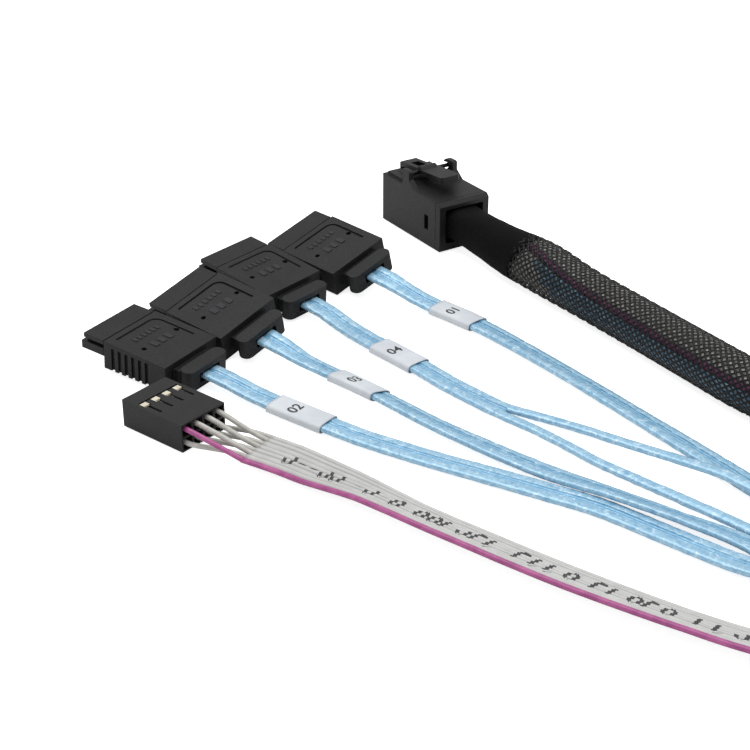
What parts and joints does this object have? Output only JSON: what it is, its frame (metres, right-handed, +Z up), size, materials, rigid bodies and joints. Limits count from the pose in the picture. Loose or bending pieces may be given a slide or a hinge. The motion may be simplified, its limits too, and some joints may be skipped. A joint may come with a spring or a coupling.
{
  "type": "mini sas breakout cable",
  "caption": "Storage breakout cable: a latching high-density plug on a braided trunk that fans out into flat SATA plug legs and a ribbon with a crimp housing.",
  "frame": {"origin": "under the middle of the high-density plug, on the surface that the cable lies on", "axes": "+Y from the high-density plug's mating face back along the plug towards its cable, +X to the side where the SATA plugs lie, +Z up"},
  "size_m": [0.1601, 0.2682, 0.0142],
  "materials": {
    "plug_plastic": "moulded, satin, charcoal",
    "cover_plastic": "moulded, satin, black",
    "sata_plastic": "moulded, fine grain, charcoal",
    "housing_plastic": "moulded, satin, black",
    "circuit_board": "glass fibre board with solder mask",
    "heat_shrink": "shrunk sleeving, matt black",
    "braid": "open braid of polyester monofilament over coloured wires",
    "blue_film": "clear pale blue film, crinkled",
    "label": "printed wrap label",
    "contact_metal": "thin gold plating",
    "ribbon_vinyl": "grey vinyl, soft sheen",
    "edge_vinyl": "magenta vinyl, soft sheen",
    "steel": "plain pin"
  },
  "bodies": {
    "cable": {"plug_housing": "plug_plastic", "plug_rear_cover": "cover_plastic", "paddle_card_lower": "circuit_board", "paddle_card_upper": "circuit_board", "wire_block": "heat_shrink", "latch_pin": "steel", "plug_heat_shrink": "heat_shrink", "braided_sleeve": "braid", "breakout_heat_shrink": "heat_shrink", "sata_1_carrier": "sata_plastic", "sata_1_moulding": "sata_plastic", "sata_2_carrier": "sata_plastic", "sata_2_moulding": "sata_plastic", "sata_3_carrier": "sata_plastic", "sata_3_moulding": "sata_plastic", "sata_4_carrier": "sata_plastic", "sata_4_moulding": "sata_plastic", "leg_1_strand_a": "blue_film", "leg_1_strand_b": "blue_film", "leg_2_strand_a": "blue_film", "leg_2_strand_b": "blue_film", "leg_3_strand_a": "blue_film", "leg_3_strand_b": "blue_film", "leg_4_strand_a": "blue_film", "leg_4_strand_b": "blue_film", "label_1": "label", "label_2": "label", "label_3": "label", "label_4": "label", "crimp_housing": "housing_plastic", "crimp_contact_1": "contact_metal", "crimp_contact_2": "contact_metal", "crimp_contact_3": "contact_metal", "crimp_contact_4": "contact_metal", "crimp_contact_5": "contact_metal", "crimp_contact_6": "contact_metal", "crimp_contact_7": "contact_metal", "crimp_contact_8": "contact_metal", "header_wire_1": "edge_vinyl", "header_wire_2": "ribbon_vinyl", "header_wire_3": "ribbon_vinyl", "header_wire_4": "ribbon_vinyl", "header_wire_5": "ribbon_vinyl", "header_wire_6": "ribbon_vinyl", "header_wire_7": "ribbon_vinyl", "header_wire_8": "ribbon_vinyl", "ribbon_cable": "ribbon_vinyl"},
    "latch": {"latch_lever": "plug_plastic"}
  },
  "joints": [
    {"name": "latch_press", "type": "hinge", "parent": "cable", "child": "latch", "pos_m": [0, -0.003, 0.01275], "axis": [-1, 0, 0], "range_deg": [0, 6], "stiffness_Nm_per_rad": 0.2}
  ]
}
